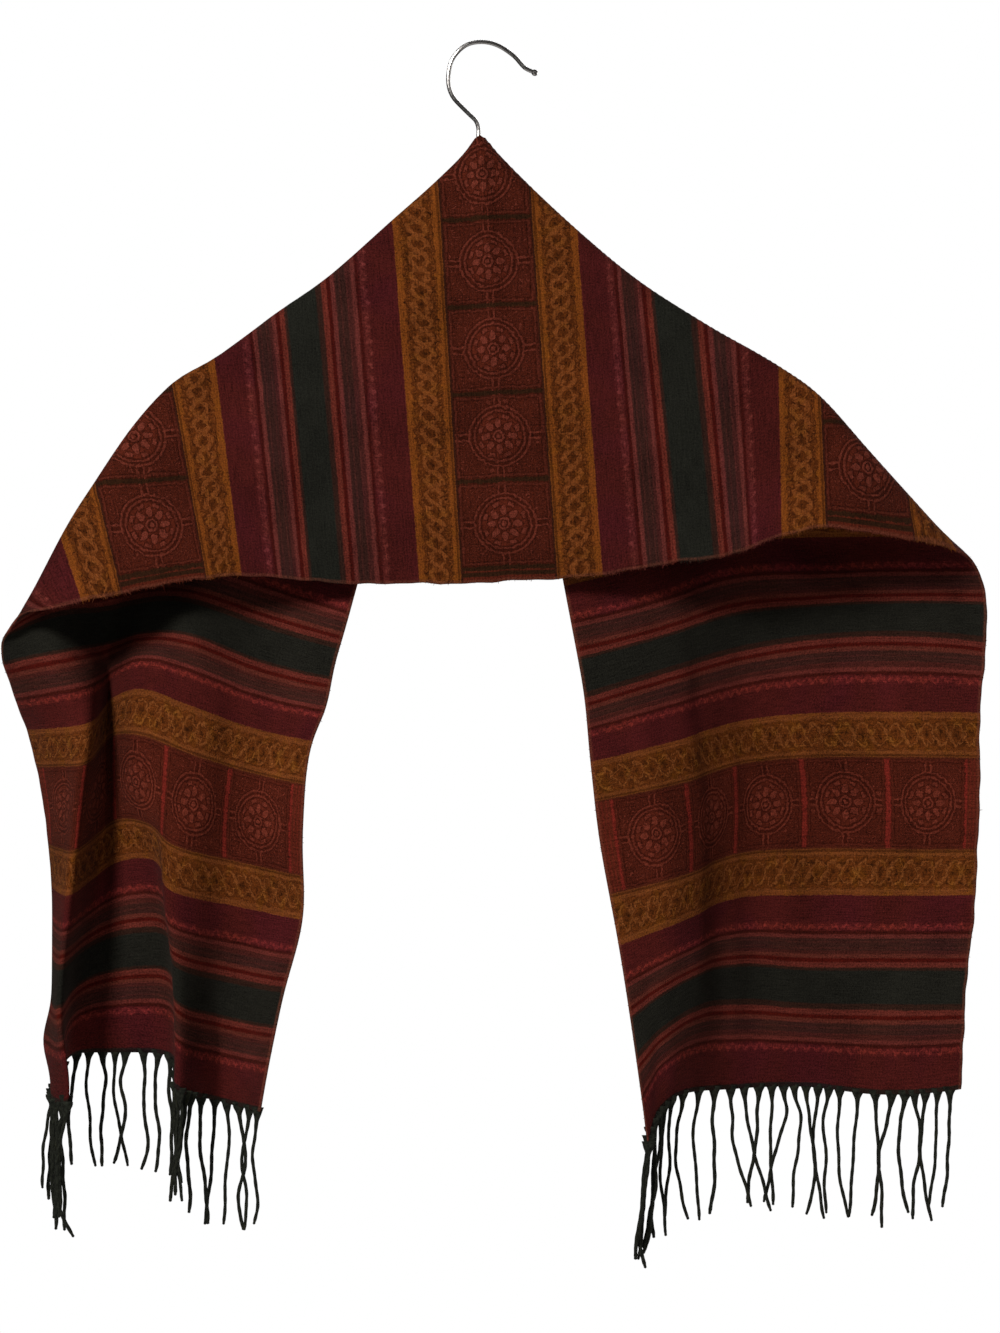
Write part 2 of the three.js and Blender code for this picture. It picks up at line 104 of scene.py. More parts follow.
LEFT_TAIL = [
    (339, (-310, 2, -381), (-295, 9, -371), (-281, 12, -364), (-262, 45, -361), (-252, 48, -360), (-226, 36, -355), (-195, 22, -357), (-148, 24, -372), (-94, 9, -388)),
    (360, (-318, 9, -394), (-301, 10, -388), (-281, 12, -384), (-258, 49, -381), (-249, 48, -380), (-224, 30, -375), (-195, 14, -374), (-153, 22, -390), (-99, 10, -404)),
    (393, (-313, 28, -426), (-292, 12, -423), (-264, 12, -418), (-253, 52, -410), (-247, 42, -407), (-224, 22, -400), (-196, 12, -406), (-157, 22, -422), (-105, 9, -434)),
    (422, (-306, 44, -450), (-285, 20, -449), (-261, 6, -446), (-254, 50, -432), (-247, 38, -428), (-225, 18, -423), (-197, 10, -433), (-160, 20, -447), (-114, 8, -457)),
    (479, (-297, 54, -500), (-281, 27, -499), (-266, 0, -498), (-256, 50, -486), (-248, 40, -481), (-226, 18, -484), (-202, 8, -494), (-168, 20, -505), (-120, 4, -515)),
    (537, (-292, 58, -553), (-284, 30, -556), (-272, -1, -556), (-258, 52, -544), (-247, 44, -537), (-219, 28, -534), (-208, 2, -552), (-168, 22, -564), (-120, 0, -572)),
    (599, (-292, 62, -616), (-287, 32, -617), (-278, -1, -616), (-266, 54, -604), (-248, 52, -598), (-213, 36, -595), (-203, -2, -613), (-175, 28, -626), (-134, -4, -630)),
    (667, (-292, 64, -690), (-289, 33, -694), (-281, 0, -694), (-276, 54, -668), (-252, 56, -667), (-210, 42, -668), (-202, -4, -683), (-180, 34, -696), (-147, -6, -698)),
]
TAUT = dict(neck=(-3.3, -61.5), right=(60, -394), left=(-94, -388), y=8)

# Creases laid on that form: a soft trough (depth > 0, away from someone facing the
# scarf) or ridge (depth < 0) from one point on the cloth to another, fading at both ends.
CREASES = table(
    "along1 across1 along2 across2 half depth",
    [
        # near panel, under the arms' lower edges
        (-40, 205, -120, 148, 13, 1.1),
        (-112, 150, -215, 92, 15, 1.6),
        (-195, 84, -262, 40, 12, 1.4),
        (34, 210, 108, 150, 12, 1.0),
        (120, 128, 205, 62, 14, 1.7),
        (-150, 120, -172, 30, 18, -0.9),
        (-70, 110, -62, 12, 16, 0.8),
        (25, 96, 20, 8, 20, -0.8),
        (88, 92, 96, 10, 15, 0.9),
        (150, 84, 140, 8, 14, -0.9),
        (-212, 66, -236, 6, 12, 1.3),
        (222, 60, 238, 4, 12, -1.2),
        # right tail
        (350, 212, 640, 196, 12, 2.2),
        (400, 182, 655, 176, 10, -1.8),
        (372, 96, 560, 104, 20, 1.6),
        (430, 36, 640, 44, 16, -1.4),
        (520, 128, 664, 138, 14, -1.5),
        (350, 20, 470, 34, 14, 1.6),
        (590, 74, 664, 70, 13, 1.4),
        (380, 266, 560, 258, 13, -1.8),
        (560, 282, 664, 262, 10, 1.8),
        # left tail
        (-360, 140, -520, 150, 12, -2.0),
        (-392, 215, -600, 208, 12, -2.2),
        (-420, 262, -630, 268, 14, 1.8),
        (-520, 172, -662, 176, 8, 2.4),
        (-560, 136, -664, 128, 10, -2.2),
        (-380, 40, -560, 46, 10, 1.6),
        (-610, 226, -664, 232, 10, -1.6),
        # cloth behind the near panel, as uneven as what shows
        (60, 262, 290, 214, 16, 3.4),
        (150, 200, 330, 138, 18, -3.6),
        (210, 148, 350, 92, 14, 2.6),
        (-70, 270, -300, 224, 15, -3.2),
        (-160, 214, -330, 152, 17, 3.4),
        (-236, 150, -345, 96, 13, -2.4),
    ],
)

# Fringe: one row for each cord. across is where it leaves the hem; drop is its length; the rest
# are how far it has swung to the right a quarter, half, three quarters and all the way down.
RIGHT_CORDS = table(
    "across drop q1 q2 q3 q4 depth",
    [
        (8, 78, 0, -1, -2, -5, 0),
        (17, 77, -1, -1, -3, -6, 0),
        (26, 86, -2, -3, 0, 4, 1),
        (34, 84, 3, 3, -1, -1, -2),
        (41, 80, -3, -4, -2, 2, 1),
        (51, 82, -3, -8, -9, -13, 2),
        (63, 90, 1, 2, 4, 4, -1),
        (76, 84, -1, -3, -4, -6, 0),
        (89, 86, -1, -1, 1, 6, 1),
        (97, 84, -4, -2, -3, -2, -1),
        (105, 86, -2, -3, -2, -8, 2),
        (114, 89, 2, 5, 8, 12, -2),
        (123, 82, 4, 3, 0, -1, 1),
        (131, 78, 2, -4, -9, -13, -1),
        (140, 80, 0, -1, 0, 1, 1),
        (150, 78, -1, -2, -6, -8, -2),
        (162, 83, 2, 6, 12, 18, 1),
        (174, 79, 1, 2, 8, 14, 0),
        (189, 83, -1, 0, 0, -3, 0),
        (204, 86, -3, -3, -1, 0, 0),
        (221, 83, -3, -5, -2, 3, 0),
        (236, 80, -2, -1, -3, -5, 1),
        (247, 86, -1, -3, -1, 1, -1),
        (256, 84, 1, -3, -5, -4, 2),
        (264, 90, -1, -2, -3, -8, -2),
        (273, 82, 1, 2, -2, -6, 0),
        (283, 84, -2, -4, -5, -8, 1),
        (292, 78, -3, -4, -7, -9, -2),
        (298, 80, -1, -3, -6, -2, 1),
    ],
)
LEFT_CORDS = table(
    "across drop q1 q2 q3 q4 depth",
    [
        (3, 64, -1, -2, -3, -3, 1),
        (14, 72, 0, -1, -2, -3, -1),
        (24, 62, -2, -5, -6, -6, 0),
        (34, 80, 0, 0, 1, 1, 2),
        (44, 84, 1, 1, 1, 0, -1),
        (54, 82, -1, 0, 1, 1, 1),
        (62, 86, -4, -6, -5, 4, -1),
        (71, 78, -4, -5, -4, -5, 1),
        (82, 84, -4, -5, -6, -5, 0),
        (93, 80, -5, -6, -8, -7, 1),
        (105, 75, -2, -5, -5, -3, 0),
        (111, 77, -2, 0, 1, 4, 0),
        (117, 77, 2, 0, -1, 0, 0),
        (123, 77, -1, 0, 4, 8, 2),
        (128, 75, -3, 0, -2, -8, -2),
        (137, 79, 1, 0, 3, -1, 0),
        (145, 80, -2, -1, 1, -2, 0),
        (154, 80, -1, 1, 1, 0, 0),
        (165, 80, -2, 0, 1, -2, 1),
        (176, 84, -1, 0, -1, -4, -1),
        (188, 76, 2, 1, 2, 5, 1),
        (199, 60, 1, 0, -2, 1, 2),
        (207, 66, -1, -3, -6, -7, -2),
        (213, 77, -2, -3, -1, -1, 0),
        (224, 84, -1, 0, 3, 4, 1),
        (240, 83, -1, -2, -4, -7, -1),
        (255, 81, 2, 0, -1, -2, 0),
        (271, 82, 3, 4, 0, 3, -1),
        (286, 80, -3, -5, -2, -4, 1),
        (297, 74, -2, -3, 0, -2, -1),
    ],
)
CORD_RADIUS = 1.2
TWIST_PITCH = 7.5

# Pattern, in the cloth's own lengths
REPEAT = 240.0  # the stripes' repeat along the scarf
CELL = 56.6  # pitch of the square motifs across it
CELL_START = 8.2  # the plain strip before the first one


# ---------------------------------------------------------------- curves
def smooth(x):
    t = np.clip(x, 0, 1)
    return t * t * (3 - 2 * t)


def curve(xs, ys):
    """Smooth curve through values at uneven stations: cubic pieces with parabolic slopes."""
    xs, ys = np.asarray(xs, float), np.asarray(ys, float)
    n, h = len(xs), np.diff(xs)
    wide = h.reshape((-1,) + (1,) * (ys.ndim - 1))
    d = np.diff(ys, axis=0) / wide
    m = np.empty_like(ys)
    if n == 2:
        m[:] = d[0]
    else:
        m[1:-1] = (d[:-1] * wide[1:] + d[1:] * wide[:-1]) / (wide[:-1] + wide[1:])
        m[0] = d[0] + (d[0] - d[1]) * h[0] / (h[0] + h[1])
        m[-1] = d[-1] + (d[-1] - d[-2]) * h[-1] / (h[-1] + h[-2])

    def value(x):
        x = np.asarray(x, float)
        i = np.clip(np.searchsorted(xs, x, side="left") - 1, 0, n - 2)
        shape = x.shape + (1,) * (ys.ndim - 1)
        step, t = h[i].reshape(shape), ((x - xs[i]) / h[i]).reshape(shape)
        inside = (
            (2 * t**3 - 3 * t**2 + 1) * ys[i]
            + (t**3 - 2 * t**2 + t) * step * m[i]
            + (3 * t**2 - 2 * t**3) * ys[i + 1]
            + (t**3 - t**2) * step * m[i + 1]
        )
        before = ys[0] + m[0] * (x - xs[0]).reshape(shape)
        after = ys[-1] + m[-1] * (x - xs[-1]).reshape(shape)
        return np.where(t < 0, before, np.where(t > 1, after, inside))

    return value


panel = {
    name: curve([r["along"] for r in PANEL], [r[name] for r in PANEL])
    for name in PANEL[0]
    if name != "along"
}


def neck_shift(u):
    """The edge of the cloth passes in front of the wire at the neck."""
    return -4 * math.cos(math.pi / 2 * min(abs(u) / 12, 1)) ** 2


def near_points(u, v):
    reach = float(panel["reach"](u))
    r, d = min(float(panel["round"](u)), reach / 1.7), reach - v
    foot = np.array([panel["footX"](u), panel["footY"](u), panel["footZ"](u)], float)
    crest = np.array([panel["crestX"](u), neck_shift(u), panel["crestZ"](u)], float)
    down = np.array([foot[0] - crest[0], 0, foot[2] - crest[2]])
    length, turn = float(np.linalg.norm(down)), math.pi / 2 * r
    down /= max(length, 1e-9)
    a = np.minimum(d / r, math.pi / 2)
    curl = crest + np.outer(r * (1 - np.cos(a)), down) + np.outer(-r * np.sin(a), [0, 1, 0])
    t = (d - turn) / max(reach - turn, 1e-9)
    flat = crest + np.outer(r + (length - r) * t, down)
    flat[:, 1] = crest[1] - r + (foot[1] - crest[1] + r) * t
    return np.where((d < turn)[:, None], curl, flat)


class End:
    """One end of the scarf, past its turn over the hanger."""

    def __init__(self, side, folds, tail, taut):
        self.side, self.places = side, np.array(folds) / WIDTH
        self.last = PANEL[-1]["along"] if side > 0 else -PANEL[0]["along"]
        first = np.array(tail[0][1:], float)
        t = self.places[:, None]
        off = first - (first[0] + (first[-1] - first[0]) * t)
        start_u = tail[0][0]
        belly_first = self.belly(start_u, first[0], first[-1])
        stations, rows = [], []
        for u in (0, 12, 30, 59, 102, 139, 182, 211, 240, 269, 297, 314):
            if u >= self.last + 1 or u >= start_u - 15:
                continue
            a = np.array([panel["crestX"](side * u), neck_shift(u), panel["crestZ"](side * u)], float)
            k = u / start_u
            b = np.array([
                TAUT["neck"][0] + (taut[0] - TAUT["neck"][0]) * k,
                TAUT["y"] + neck_shift(u),
                TAUT["neck"][1] + (taut[1] - TAUT["neck"][1]) * k,
            ])
            share = self.belly(u, a, b) / belly_first
            stations.append(u)
            rows.append(a + (b - a) * t + off * share)
        for row in tail:
            stations.append(row[0])
            rows.append(np.array(row[1:], float))
        self.lines = curve(stations, np.array(rows))

    def start(self, u):
        if u <= self.last:
            return float(panel["reach"](self.side * u))
        return max(0.0, float(panel["reach"](self.side * self.last)) * (1 - (u - self.last) / 12))

    def round(self, u):
        r = float(panel["round"](self.side * min(u, self.last)))
        return r if u <= self.last else r * max(0.0, 1 - (u - self.last) / 20)

    def belly(self, u, a, b):
        gap = float(np.linalg.norm(a - b))
        return math.sqrt(max(0.0, gap * (WIDTH - self.start(u) - gap)))

    def points(self, u, v):
        lo, r = self.start(u), max(0.01, self.round(u))
        turn, d = math.pi / 2 * r, v - lo
        lag = np.where(d < turn, d - r * (1 - np.cos(d / r)), turn - r)
        fade = np.exp(-np.maximum(0, d - turn) / 45)
        t = np.clip((d - lag * fade) / (WIDTH - lo), 0, 1)
        p = curve(self.places, self.lines(u))(t)
        p[:, 1] += r * np.sin(np.minimum(d / r, math.pi / 2)) * fade * smooth(1 - (u - self.last) / 20)
        return p


right = End(1, RIGHT_FOLDS, RIGHT_TAIL, TAUT["right"])
left = End(-1, LEFT_FOLDS, LEFT_TAIL, TAUT["left"])


def cloth_row(u, v):
    """Points of the middle of the cloth's thickness across the scarf at one place along."""
    end = right if u >= 0 else left
    a = abs(u)
    reach = end.start(a)
    far = end.points(a, v)
    if a > end.last:
        return far
    return np.where((v < reach)[:, None], near_points(u, v), far)


# ---------------------------------------------------------------- the cloth's surface
along = np.linspace(-HALF, HALF, ROWS + 1)
across = np.linspace(0, WIDTH, COLS + 1)
surface = np.array([cloth_row(u, across) for u in along])
U, V = np.meshgrid(along, across, indexing="ij")
reach_at = np.array([(right if u >= 0 else left).start(abs(u)) for u in along])


def soften(points, weight, rounds):
    """Evens out short kinks where weight is near 1, and leaves the outline alone."""
    p = points.copy()
    for _ in range(rounds):
        q = p.copy()
        q[1:-1] = (p[:-2] + 2 * p[1:-1] + p[2:]) / 4
        r = q.copy()
        r[:, 1:-1] = (q[:, :-2] + 2 * q[:, 1:-1] + q[:, 2:]) / 4
        r[0], r[-1] = p[0], p[-1]
        p += (r - p) * weight[:, :, None]
    return p


behind = smooth((V - reach_at[:, None] - 4) / 14)
corner = np.exp(-(((np.abs(U) - 332) / 26) ** 2))
surface = soften(surface, np.clip(0.25 + corner, 0, 1) * behind, 26)
surface = soften(surface, np.full(U.shape, 0.5), 2)


def normals(points):
    a, b = np.empty_like(points), np.empty_like(points)
    a[1:-1], a[0], a[-1] = points[2:] - points[:-2], points[1] - points[0], points[-1] - points[-2]
    b[:, 1:-1] = points[:, 2:] - points[:, :-2]
    b[:, 0], b[:, -1] = points[:, 1] - points[:, 0], points[:, -1] - points[:, -2]
    n = np.cross(a, b)
    return n / np.maximum(np.linalg.norm(n, axis=2, keepdims=True), 1e-9)


def segment_fade(row):
    """How strongly one crease acts at each point of the cloth."""
    a = np.array([row["along1"], row["across1"]], float)
    b = np.array([row["along2"], row["across2"]], float)
    run = b - a
    length = float(np.hypot(*run))
    du, dv = U - a[0], V - a[1]
    t = (du * run[0] + dv * run[1]) / length**2
    # a slight bow keeps the line from looking ruled
    bow = 3.0 * np.sin(math.pi * np.clip(t, 0, 1)) * (1 if row["depth"] > 0 else -1)
    off = (du * run[1] - dv * run[0]) / length + bow
    # the width grows towards the far end, as a fold opens out
    half = row["half"] * (0.75 + 0.5 * np.clip(t, 0, 1))
    return np.exp(-((off / half) ** 2)) * smooth((t + 0.12) / 0.3) * smooth((1.12 - t) / 0.3)


# Places on the cloth pushed sideways and forwards: the left tail's near edge curls by the hem,
# and its inner fold stands nearer just below the panel. The right tail sinks in behind the panel.
CURLS = table(
    "along across half_along half_across dx dy",
    [
        (-660, 62, 26, 17, 8.5, -3),
        (-638, 6, 17, 22, -4.5, -6),
        (-667, 10, 16, 22, 2.0, -6),
        (-352, 188, 30, 32, 0.0, -9),
        (303, 112, 19, 74, 0.0, 8.5),
    ],
)
for row in CURLS:
    pull = np.exp(-(((U - row["along"]) / row["half_along"]) ** 2) - ((V - row["across"]) / row["half_across"]) ** 2)
    surface[:, :, 0] += row["dx"] * pull
    surface[:, :, 1] += row["dy"] * pull

side = normals(surface)
lift = np.zeros(U.shape)
for row in CREASES:
    lift += row["depth"] * segment_fade(row)
# slow unevenness of the woven cloth, quieter where it is stretched over the arms
slow = (
    np.sin(U / 31 + 1.3 * np.sin(V / 47)) * np.sin(V / 39 + 0.8)
    + 0.6 * np.sin(U / 19 - V / 27 + 2.1)
    + 0.35 * np.sin(U / 11 + V / 16 + 0.4)
)
near_crest = np.exp(-(((V - reach_at[:, None]) / 16) ** 2)) * (np.abs(U) < 330)
lift += 0.34 * slow * (1 - 0.85 * near_crest)
# creases are away from the viewer, so on both the panel and the tails they run along +Y
face_y = np.where(side[:, :, 1] < 0, -1.0, 1.0)
surface = surface + side * (lift * face_y * np.abs(side[:, :, 1]) ** 0.5)[:, :, None]

# selvages and hems waver a little, more on the near panel's right where the cut threads show
edge = np.exp(-V / 5.0)
waver = np.sin(U / 5.3) * 0.35 + np.sin(U / 2.9 + 1.7) * 0.25 + np.sin(U / 13.0) * 0.3
to_inside = surface[:, 3] - surface[:, 0]
to_inside /= np.maximum(np.linalg.norm(to_inside, axis=1, keepdims=True), 1e-9)
calm = np.clip(1 - np.exp(-((np.abs(along) - 320) / 20) ** 2), 0, 1)
surface += to_inside[:, None, :] * (edge * (waver * calm[:, None]) * 0.8)[:, :, None]


# ---------------------------------------------------------------- meshes
def to_mesh(name, points, faces, uv=None, slots=None, smooth_faces=True):
    mesh = bpy.data.meshes.new(name)
    mesh.from_pydata((np.asarray(points) / 1000).tolist(), [], [tuple(int(i) for i in f) for f in faces])
    if uv is not None:
        layer = mesh.uv_layers.new(name="cloth")
        index = np.empty(len(mesh.loops), np.int32)
        mesh.loops.foreach_get("vertex_index", index)
        layer.data.foreach_set("uv", (np.asarray(uv)[index] / 1000).astype(np.float32).ravel())
    if slots is not None:
        mesh.polygons.foreach_set("material_index", np.asarray(slots, np.int32))
    mesh.polygons.foreach_set("use_smooth", np.full(len(mesh.polygons), smooth_faces))
    mesh.update()
    made = bpy.data.objects.new(name, mesh)
    bpy.context.scene.collection.objects.link(made)
    return made


def cloth_mesh(points):
    """A closed shell of the cloth's thickness with rounded edges; slot 0 is its face."""
    rows, cols = points.shape[:2]
    n = normals(points)
    half = np.full((rows, cols), CLOTH / 2)
    front, back = points + n * half[:, :, None], points - n * half[:, :, None]
    ring = (
        [(i, 0) for i in range(rows)]
        + [(rows - 1, j) for j in range(1, cols)]
        + [(i, cols - 1) for i in range(rows - 2, -1, -1)]
        + [(0, j) for j in range(cols - 2, 0, -1)]
    )
    out = []
    for i, j in ring:
        inner = points[min(max(i, 1), rows - 2), min(max(j, 1), cols - 2)]
        away = points[i, j] - inner
        out.append(points[i, j] + away / max(np.linalg.norm(away), 1e-9) * CLOTH * 0.42)
    verts = np.concatenate([front.reshape(-1, 3), back.reshape(-1, 3), np.array(out)])
    flat_uv = np.stack([U.ravel(), V.ravel()], 1)
    uv = np.concatenate([flat_uv, flat_uv, np.array([[along[i], across[j]] for i, j in ring])])
    ids = np.arange(rows * cols).reshape(rows, cols)
    a, b, c, d = ids[:-1, :-1], ids[1:, :-1], ids[1:, 1:], ids[:-1, 1:]
    faces = np.stack([a, b, c, d], -1).reshape(-1, 4)
    under = np.stack([a, d, c, b], -1).reshape(-1, 4) + rows * cols
    rim = []
    base, count = 2 * rows * cols, len(ring)
    for k in range(count):
        p, q = ring[k], ring[(k + 1) % count]
        fp, fq, m, mn = ids[p], ids[q], base + k, base + (k + 1) % count
        rim.append((fq, fp, m, mn))
        rim.append((mn, m, fp + rows * cols, fq + rows * cols))
    every = np.concatenate([faces, under, np.array(rim)])
    slots = np.concatenate([np.zeros(len(faces)), np.ones(len(under)), np.zeros(len(rim))])
    return to_mesh("scarf_cloth", verts, every, uv, slots)


scarf = cloth_mesh(surface)


# ---------------------------------------------------------------- fringe
def hem_curve(end):
    """The hem as the finished cloth has it, by length across."""
    row = surface[-1] if end.side > 0 else surface[0]
    before = surface[-3] if end.side > 0 else surface[2]
    return curve(across, row), curve(across, row - before)


def tube(path, radius, flat, sides, twist, phase):
    """A twisted two-ply cord: rings round a path that hangs, with a helical lobe."""
    path = np.asarray(path, float)
    run = np.gradient(path, axis=0)
    run /= np.linalg.norm(run, axis=1, keepdims=True)
    one = np.cross(run, [0, 1, 0])
    one /= np.linalg.norm(one, axis=1, keepdims=True)
    two = np.cross(run, one)
    s = np.concatenate([[0], np.cumsum(np.linalg.norm(np.diff(path, axis=0), axis=1))])
    a = np.arange(sides) * 2 * math.pi / sides
    lobe = 1 + 0.06 * np.cos(2 * (a[None, :] - 2 * math.pi * s[:, None] / (2 * twist) + phase))
    r = radius[:, None] * lobe
    x, y = r * np.cos(a)[None, :] * flat[:, None], r * np.sin(a)[None, :]
    rings = path[:, None, :] + x[:, :, None] * one[:, None, :] + y[:, :, None] * two[:, None, :]
    n = len(path)
    verts = np.concatenate([rings.reshape(-1, 3), path[:1], path[-1:] + run[-1:] * 0.6])
    ids = np.arange(n * sides).reshape(n, sides)
    nxt = np.roll(ids, -1, axis=1)
    quads = np.stack([ids[:-1], nxt[:-1], nxt[1:], ids[1:]], -1).reshape(-1, 4)
    caps = [(ids[0, (k + 1) % sides], ids[0, k], n * sides) for k in range(sides)]
    caps += [(ids[-1, k], ids[-1, (k + 1) % sides], n * sides + 1) for k in range(sides)]
    return verts, [tuple(f) for f in quads] + caps, np.repeat(s, sides)


def fringe(name, end, cords, seed):
    chance = np.random.default_rng(seed)
    hem, hang = hem_curve(end)
    verts, faces, uv, count = [], [], [], 0
    for row in cords:
        top = hem(row["across"])
        lead = hang(row["across"])
        lead = lead / np.linalg.norm(lead)
        swing = curve([0, 0.12, 0.25, 0.5, 0.75, 1], [0, row["q1"] * 0.22, row["q1"], row["q2"], row["q3"], row["q4"]])
        sway = curve([0, 0.15, 0.5, 0.8, 1], [0, 0, row["depth"], row["depth"] * 1.6, row["depth"] * 0.6])
        t = np.linspace(0, 1, 58)
        small = 0.35 * np.sin(t * chance.uniform(14, 22) + chance.uniform(0, 6.28)) * smooth(t * 4)
        path = np.zeros((len(t), 3))
        path[:, 0] = top[0] + swing(t) + small
        path[:, 1] = top[1] + sway(t) + 0.6 * small
        path[:, 2] = top[2] + 2.2 - t * (row["drop"] + 2.2)
        # it leaves the hem in the cloth's own direction
        ease = np.exp(-t * 14)[:, None]
        path += (lead * np.array([1, 1, 0])) * 3.0 * (t[:, None] * 10) * ease
        thick = CORD_RADIUS * chance.uniform(0.92, 1.1)
        radius = thick * (1 + 0.04 * np.sin(t * 37 + chance.uniform(0, 6)))
        radius = radius * np.where(t > 0.975, 0.8, 1.0)
        # threads gather out of the hem into the cord
        flare = np.exp(-((t * (row["drop"] + 2.2)) / 4.8) ** 1.4)
        flat = 1 + 4.6 * flare
        radius = radius * (1 - 0.35 * flare)
        p, f, s = tube(path, radius, flat, 9, TWIST_PITCH, chance.uniform(0, 6.28))
        verts.append(p)
        faces += [tuple(i + count for i in q) for q in f]
        around = np.concatenate([np.tile(np.arange(9) * 7.0 / 9, len(t)), [0, 0]])
        uv.append(np.stack([around + row["across"], np.concatenate([s, [0, s[-1]]])], 1))
        count += len(p)
    return to_mesh(name, np.concatenate(verts), faces, np.concatenate(uv))


fringe_right = fringe("fringe_right_cords", right, RIGHT_CORDS, 5)
fringe_left = fringe("fringe_left_cords", left, LEFT_CORDS, 9)


def hairs(name, spots, seed):
    """Short loose thread ends: slim tapered spikes, given as (root, way, length, along, across)."""
    chance = np.random.default_rng(seed)
    verts, faces, uv, count = [], [], [], 0
    for root, way, length, u, v in spots:
        way = way / np.linalg.norm(way)
        bend = chance.normal(0, 1, 3) * 0.28 * length
        side_a = np.cross(way, [0.3, 1.0, 0.2])
        side_a /= np.linalg.norm(side_a)
        side_b = np.cross(way, side_a)
        rings = []
        for t, r in ((-0.35, 0.26), (0.3, 0.24), (0.7, 0.17)):
            c = root + way * length * t + bend * max(t, 0) ** 2
            rings += [c + r * (math.cos(k) * side_a + math.sin(k) * side_b) for k in (0, 2.094, 4.189)]
        tip = root + way * length + bend
        verts += rings + [tip]
        for i in (0, 3):
            faces += [(count + i + k, count + i + (k + 1) % 3, count + i + 3 + (k + 1) % 3, count + i + 3 + k) for k in range(3)]
        faces += [(count + 6 + k, count + 6 + (k + 1) % 3, count + 9) for k in range(3)]
        faces += [(count + 2, count + 1, count)]
        uv += [(u, v)] * 10
        count += 10
    return to_mesh(name, verts, faces, uv)


def selvage_spots():
    chance = np.random.default_rng(21)
    spots = []
    edge_line, inner = curve(along, surface[:, 0]), curve(along, surface[:, 2])
    for u in np.concatenate([
        chance.uniform(-322, 322, 420), chance.uniform(40, 312, 520), chance.uniform(-320, -200, 160),
        chance.uniform(-640, -345, 60), chance.uniform(345, 640, 60),
    ]):
        root = edge_line(u)
        out = root - inner(u)
        out = out / np.linalg.norm(out) + chance.normal(0, 0.45, 3) * np.array([1, 0.7, 0.4])
        frayed = 40 < u < 330 or -330 < u < -200
        long = chance.uniform(0.9, 2.4) if frayed else chance.uniform(0.5, 1.4)
        if chance.random() < 0.06:
            long *= 1.7
        spots.append((root, out, long, u, chance.uniform(0.1, 2.4)))
    far_line, far_inner = curve(along, surface[:, -1]), curve(along, surface[:, -3])
    for u in np.concatenate([chance.uniform(-650, -345, 90), chance.uniform(345, 650, 90)]):
        root = far_line(u)
        out = root - far_inner(u)
        out = out / np.linalg.norm(out) + chance.normal(0, 0.4, 3)
        spots.append((root, out, chance.uniform(0.5, 1.4), u, chance.uniform(294, 299)))
    return spots


threads = hairs("selvage_threads", selvage_spots(), 3)


# ---------------------------------------------------------------- shader kit
def shade(r, g, b):
    """A colour from 0-255 display values to linear light."""
    return tuple(c / 12.92 if c <= 0.04045 else ((c + 0.055) / 1.055) ** 2.4 for c in (r / 255, g / 255, b / 255))


class Term:
    """A value in a material: arithmetic on terms makes Math nodes."""

    def __init__(self, kit, out):
        self.kit, self.out = kit, out

    def __add__(self, o):
        return self.kit.math("ADD", self, o)

    __radd__ = __add__

    def __sub__(self, o):
        return self.kit.math("SUBTRACT", self, o)

    def __rsub__(self, o):
        return self.kit.math("SUBTRACT", o, self)

    def __mul__(self, o):
        return self.kit.math("MULTIPLY", self, o)

    __rmul__ = __mul__

    def __truediv__(self, o):
        return self.kit.math("DIVIDE", self, o)

    def __neg__(self):
        return self.kit.math("MULTIPLY", self, -1.0)


